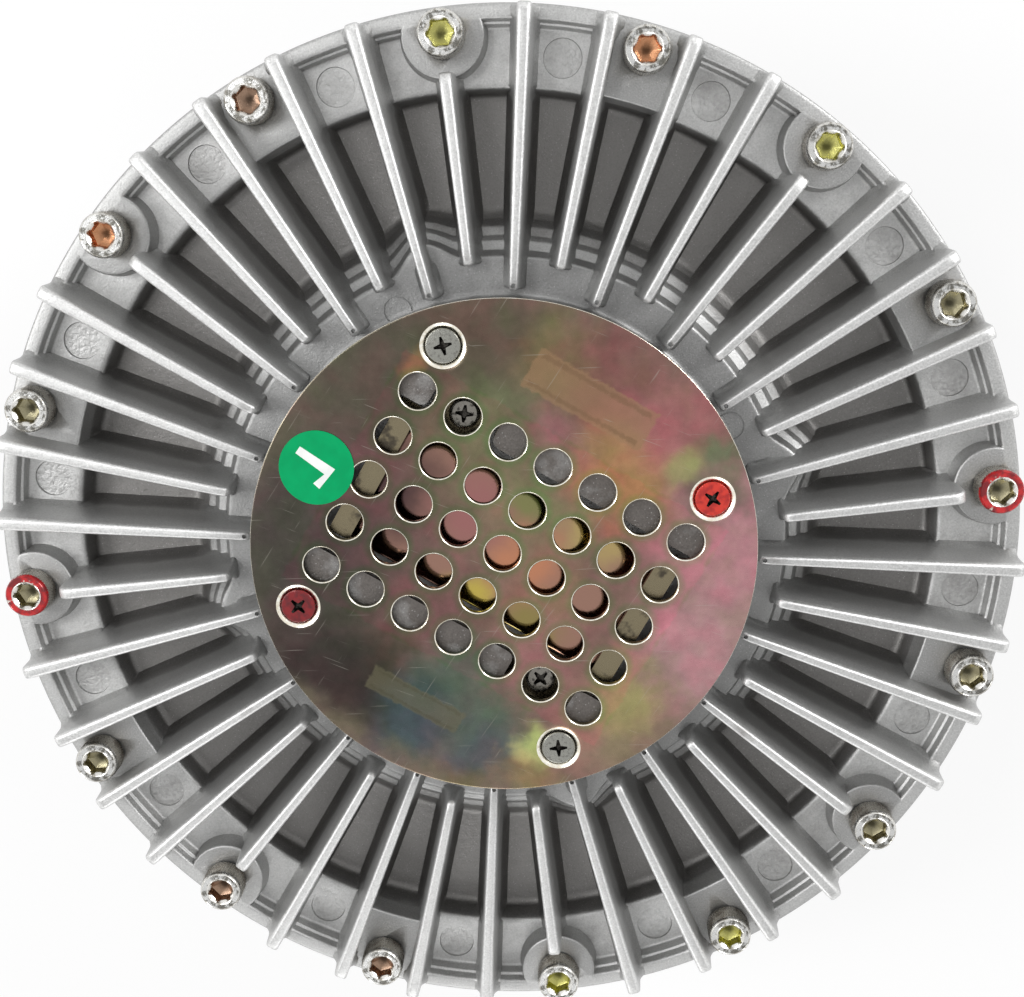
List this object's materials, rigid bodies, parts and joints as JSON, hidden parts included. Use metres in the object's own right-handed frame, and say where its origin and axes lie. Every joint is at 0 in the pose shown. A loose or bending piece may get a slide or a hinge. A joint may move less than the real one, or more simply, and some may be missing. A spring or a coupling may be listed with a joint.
{
  "type": "viscous fan clutch",
  "caption": "Viscous fan clutch: round finned casing turning on a flanged input shaft, with a perforated sheet over its bimetal valve strip.",
  "frame": {"origin": "middle of the input flange's mounting face, at the bottom of the part", "axes": "+Z along the clutch axis from the flange towards the perforated sheet, +Y through one of the casing screws on a round boss"},
  "size_m": [0.2318, 0.2318, 0.1015],
  "materials": {
    "cast_aluminium": "as cast, shot blasted",
    "yellow_zinc": "yellow passivated zinc, iridescent",
    "zinc_screw": "zinc plated",
    "red_paint": "brushed inspection paint",
    "green_film": "printed film",
    "bimetal": "rolled, satin",
    "machined_steel": "turned",
    "bearing_steel": "ground",
    "cage_brass": "pressed",
    "seal_rubber": "matt"
  },
  "bodies": {
    "shaft": {"input_shaft": "machined_steel", "rotor_disc": "machined_steel", "rotor_ring": "machined_steel", "shaft_circlip": "machined_steel", "bearing_inner_ring": "bearing_steel"},
    "casing": {"front_cover": "cast_aluminium", "rear_housing": "cast_aluminium", "perforated_plate": "yellow_zinc", "inspection_sticker": "green_film", "bimetal_strip": "bimetal", "cover_seal_ring": "seal_rubber", "pin_seal_ring": "seal_rubber", "bearing_outer_ring": "bearing_steel", "bearing_circlip": "machined_steel", "bearing_shield_1": "bearing_steel", "bearing_shield_2": "bearing_steel", "separator_plate": "machined_steel", "valve_rivet": "machined_steel", "strip_bracket_1": "machined_steel", "strip_bracket_2": "machined_steel", "bracket_screw_1": "zinc_screw", "bracket_screw_2": "zinc_screw", "plate_screw_1": "zinc_screw", "plate_screw_2": "red_paint", "plate_screw_3": "zinc_screw", "plate_screw_4": "red_paint", "cover_screw_01": "zinc_screw", "cover_screw_02": "zinc_screw", "cover_screw_03": "zinc_screw", "cover_screw_04": "zinc_screw", "cover_screw_05": "red_paint", "cover_screw_06": "zinc_screw", "cover_screw_07": "zinc_screw", "cover_screw_08": "zinc_screw", "cover_screw_09": "zinc_screw", "cover_screw_10": "zinc_screw", "cover_screw_11": "zinc_screw", "cover_screw_12": "zinc_screw", "cover_screw_13": "red_paint", "cover_screw_14": "zinc_screw", "cover_screw_15": "zinc_screw", "cover_screw_16": "zinc_screw"},
    "ball_set": {"ball_cage": "cage_brass", "bearing_ball_1": "bearing_steel", "bearing_ball_2": "bearing_steel", "bearing_ball_3": "bearing_steel", "bearing_ball_4": "bearing_steel", "bearing_ball_5": "bearing_steel", "bearing_ball_6": "bearing_steel", "bearing_ball_7": "bearing_steel", "bearing_ball_8": "bearing_steel", "bearing_ball_9": "bearing_steel"},
    "valve_pin": {"control_pin": "machined_steel"},
    "valve_flap": {"valve_leaf": "machined_steel"}
  },
  "joints": [
    {"name": "casing_spin", "type": "hinge", "parent": "shaft", "child": "casing", "pos_m": [0, 0, 0.038], "axis": [0, 0, 1], "continuous": true},
    {"name": "cage_spin", "type": "hinge", "parent": "shaft", "child": "ball_set", "pos_m": [0, 0, 0.038], "axis": [0, 0, 1], "continuous": true},
    {"name": "pin_slide", "type": "slide", "parent": "casing", "child": "valve_pin", "axis": [0, 0, 1], "range_m": [0, 0.0015], "deforming": ["bimetal_strip"]},
    {"name": "leaf_lift", "type": "hinge", "parent": "casing", "child": "valve_flap", "pos_m": [-0.02418, 0.01776, 0.0779], "axis": [-0.592, -0.8059, 0], "range_deg": [0, 3]}
  ],
  "couplings": [
    {"joint": "cage_spin", "follows": "casing_spin", "ratio": 0.5978},
    {"joint": "leaf_lift", "follows": "pin_slide", "rad_per_m": 33.333}
  ]
}
